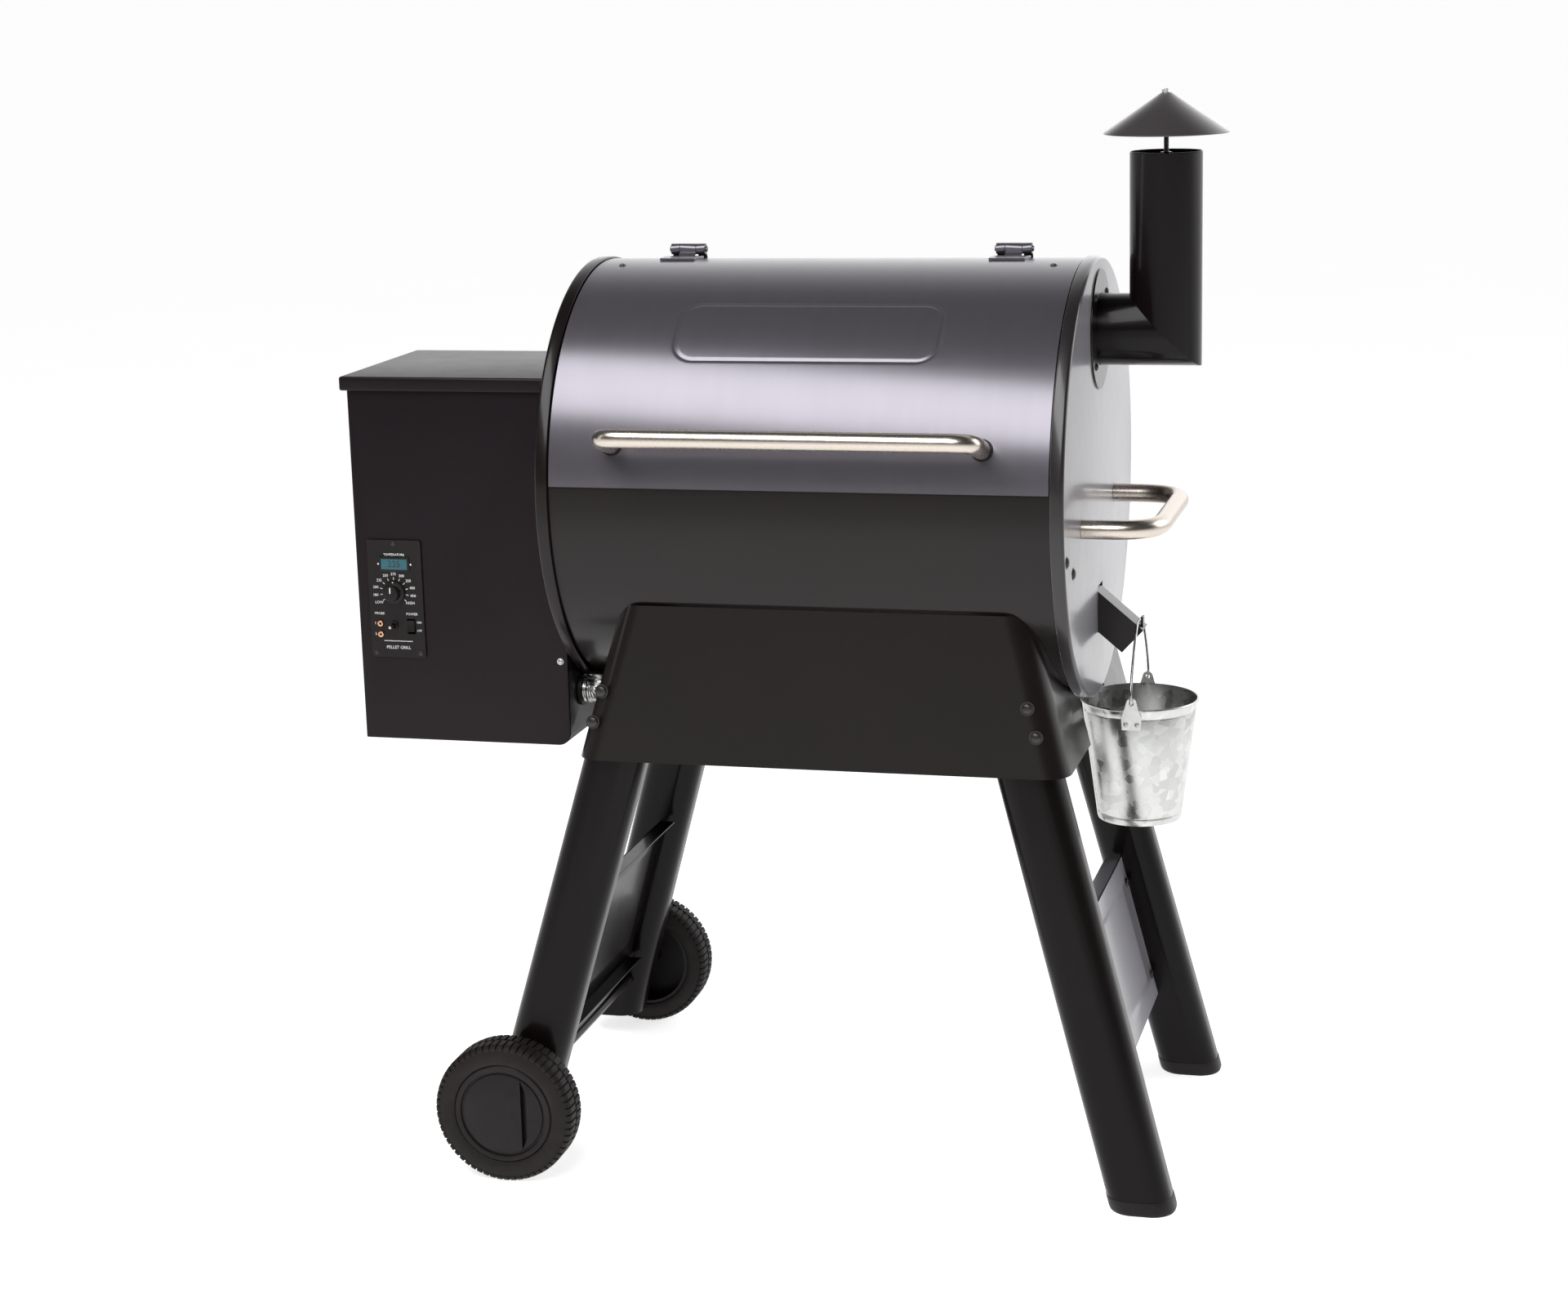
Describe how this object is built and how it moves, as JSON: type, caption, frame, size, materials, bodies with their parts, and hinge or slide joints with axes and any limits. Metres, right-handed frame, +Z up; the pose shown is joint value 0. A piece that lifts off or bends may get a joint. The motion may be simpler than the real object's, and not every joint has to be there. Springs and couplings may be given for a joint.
{
  "type": "pellet smoker grill",
  "caption": "Barrel pellet smoker on splayed legs with wheels, side pellet hopper with controller, chimney, hinged lid, grates and a hanging grease bucket.",
  "frame": {"origin": "on the ground, under the middle of the whole object's box", "axes": "+X along the barrel from the hopper to the chimney, +Y to the rear, away from the lid's handle, +Z up"},
  "size_m": [1.018, 0.6119, 1.245],
  "materials": {
    "barrel_paint": "satin black powder coat",
    "lid_paint": "satin blue-grey metallic powder coat",
    "hopper_paint": "satin black powder coat",
    "leg_paint": "semi-gloss black powder coat",
    "stainless": "brushed stainless steel",
    "galvanised": "galvanised sheet with spangle",
    "porcelain": "porcelain enamelled steel",
    "inner_steel": "bare steel sheet, dulled by heat",
    "plain_steel": "zinc plated steel",
    "black_plastic": "moulded black plastic",
    "tyre_plastic": "moulded black tyre",
    "display": "teal display behind a clear window",
    "copper": "copper coloured plated jack"
  },
  "bodies": {
    "frame": {"barrel_shell": "barrel_paint", "left_end_cap": "barrel_paint", "right_end_cap": "barrel_paint", "hinge_bracket_left": "barrel_paint", "hinge_bracket_right": "barrel_paint", "chimney_flange": "barrel_paint", "chimney_pipe": "barrel_paint", "grease_chute": "barrel_paint", "apron_front": "barrel_paint", "apron_rear": "barrel_paint", "brace_right": "barrel_paint", "brace_left": "barrel_paint", "hopper_housing": "hopper_paint", "leg_right_front": "leg_paint", "leg_right_rear": "leg_paint", "leg_left_front": "leg_paint", "leg_left_rear": "leg_paint", "axle": "leg_paint", "side_handle": "stainless", "temperature_probe": "stainless", "pellet_bin": "galvanised", "grate_left": "porcelain", "grate_right": "porcelain", "warming_rack": "porcelain", "drip_tray": "inner_steel", "grease_gutter": "inner_steel", "heat_baffle": "inner_steel", "firepot": "inner_steel", "igniter_rod": "inner_steel", "auger_tube": "inner_steel", "pellet_guard": "inner_steel", "hinge_pin_left": "plain_steel", "hinge_pin_right": "plain_steel", "hopper_hinge": "plain_steel", "auger_motor": "plain_steel", "controller": "black_plastic", "fan_frame": "black_plastic", "foot_front": "black_plastic", "foot_rear": "black_plastic", "lcd_window": "display", "probe_jack_upper": "copper", "probe_jack_lower": "copper"},
    "lid": {"lid_shell": "lid_paint", "lid_handle": "stainless", "hinge_strap_left": "lid_paint", "hinge_strap_right": "lid_paint"},
    "hopper_lid": {"hopper_lid": "hopper_paint"},
    "wheel_front": {"tyre_front": "tyre_plastic", "wheel_hub_front": "black_plastic"},
    "wheel_rear": {"tyre_rear": "tyre_plastic", "wheel_hub_rear": "black_plastic"},
    "dial": {"dial_knob": "black_plastic"},
    "probe_toggle": {"probe_toggle": "stainless"},
    "power_switch": {"power_rocker": "black_plastic"},
    "chimney_cap": {"chimney_cap": "barrel_paint"},
    "bail": {"bucket_bail": "galvanised"},
    "bucket": {"bucket": "galvanised"},
    "auger": {"auger_screw": "inner_steel"},
    "fan": {"fan_impeller": "black_plastic"}
  },
  "joints": [
    {"name": "lid_hinge", "type": "hinge", "parent": "frame", "child": "lid", "pos_m": [0.06, 0.0425, 1.0635], "axis": [-1, 0, 0], "range_deg": [0, 120]},
    {"name": "hopper_lid_hinge", "type": "hinge", "parent": "frame", "child": "hopper_lid", "pos_m": [-0.3725, 0.089, 0.925], "axis": [-1, 0, 0], "range_deg": [0, 100]},
    {"name": "wheel_front_spin", "type": "hinge", "parent": "frame", "child": "wheel_front", "pos_m": [-0.299, -0.2747, 0.0847], "axis": [0, 1, 0], "continuous": true},
    {"name": "wheel_rear_spin", "type": "hinge", "parent": "frame", "child": "wheel_rear", "pos_m": [-0.299, 0.2837, 0.0847], "axis": [0, 1, 0], "continuous": true},
    {"name": "dial_turn", "type": "hinge", "parent": "frame", "child": "dial", "pos_m": [-0.455, -0.1605, 0.678], "axis": [0, 1, 0], "range_deg": [-150, 150]},
    {"name": "probe_toggle_tilt", "type": "hinge", "parent": "frame", "child": "probe_toggle", "pos_m": [-0.457, -0.1615, 0.638], "axis": [1, 0, 0], "range_deg": [-10, 10], "stiffness_Nm_per_rad": 0.02},
    {"name": "power_switch_rock", "type": "hinge", "parent": "frame", "child": "power_switch", "pos_m": [-0.4355, -0.1575, 0.637], "axis": [1, 0, 0], "range_deg": [0, 16]},
    {"name": "chimney_cap_screw", "type": "slide", "parent": "frame", "child": "chimney_cap", "axis": [0, 0, 1], "range_m": [-0.014, 0.02]},
    {"name": "bail_swing", "type": "hinge", "parent": "frame", "child": "bail", "pos_m": [0.4085, 0.0045, 0.6336], "axis": [0, -1, 0], "range_deg": [-1.5, 25]},
    {"name": "bucket_tilt", "type": "hinge", "parent": "bail", "child": "bucket", "pos_m": [0.4085, 0.0045, 0.551], "axis": [0, -1, 0], "range_deg": [-1, 25]},
    {"name": "auger_spin", "type": "hinge", "parent": "frame", "child": "auger", "pos_m": [-0.19, -0.0155, 0.61], "axis": [1, 0, 0], "continuous": true},
    {"name": "fan_spin", "type": "hinge", "parent": "frame", "child": "fan", "pos_m": [-0.418, -0.0905, 0.516], "axis": [0, 0, 1], "continuous": true}
  ]
}
